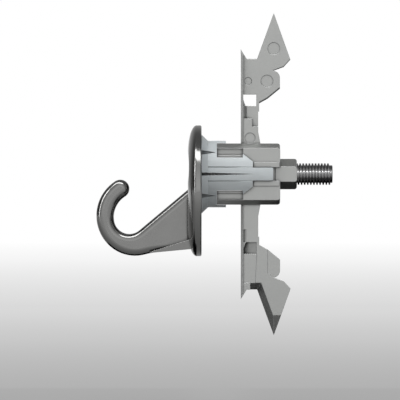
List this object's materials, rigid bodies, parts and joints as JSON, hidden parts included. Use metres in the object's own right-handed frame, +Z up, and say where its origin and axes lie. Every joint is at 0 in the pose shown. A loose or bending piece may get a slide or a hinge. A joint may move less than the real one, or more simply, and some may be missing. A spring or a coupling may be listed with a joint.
{
  "type": "drywall hook",
  "caption": "Cast wall hook with a round backplate on a threaded stud, with a slit sleeve, and a carrier whose folding wings grip the back of a hollow wall.",
  "frame": {"origin": "on the anchor's axis, in the plane of the wall's front face", "axes": "+X along the anchor's axis into the wall, +Z up, so the side seen in the picture is -Y"},
  "size_m": [0.0764, 0.0424, 0.1044],
  "materials": {
    "plated_casting": "polished, plated black nickel",
    "dark_steel": "rolled thread, black oxide with a light oil",
    "sleeve_plastic": "moulded, satin, light blue grey",
    "zinc_casting": "smooth matte grey die casting",
    "pin_steel": "plain ground steel"
  },
  "bodies": {
    "hook": {"hook_casting": "plated_casting", "drive_stud": "dark_steel"},
    "sleeve": {"anchor_sleeve": "sleeve_plastic"},
    "carrier": {"wing_carrier": "zinc_casting", "pivot_pin_upper": "pin_steel", "pivot_pin_lower": "pin_steel"},
    "upper_wing": {"wing_upper": "zinc_casting"},
    "lower_wing": {"wing_lower": "zinc_casting"}
  },
  "joints": [
    {"name": "sleeve_turn", "type": "hinge", "parent": "hook", "child": "sleeve", "pos_m": [0, 0, 0], "axis": [1, 0, 0], "range_deg": [0, 2160]},
    {"name": "carrier_travel", "type": "slide", "parent": "sleeve", "child": "carrier", "axis": [1, 0, 0], "range_m": [0, 0.006]},
    {"name": "wing_upper_fold", "type": "hinge", "parent": "carrier", "child": "upper_wing", "pos_m": [0.0157, 0, 0.00778], "axis": [0, 1, 0], "range_deg": [0, 72]},
    {"name": "wing_lower_fold", "type": "hinge", "parent": "carrier", "child": "lower_wing", "pos_m": [0.0157, 0, -0.00778], "axis": [0, -1, 0], "range_deg": [0, 72]}
  ],
  "couplings": [
    {"joint": "carrier_travel", "follows": "sleeve_turn", "m_per_rad": 0.00015915}
  ]
}
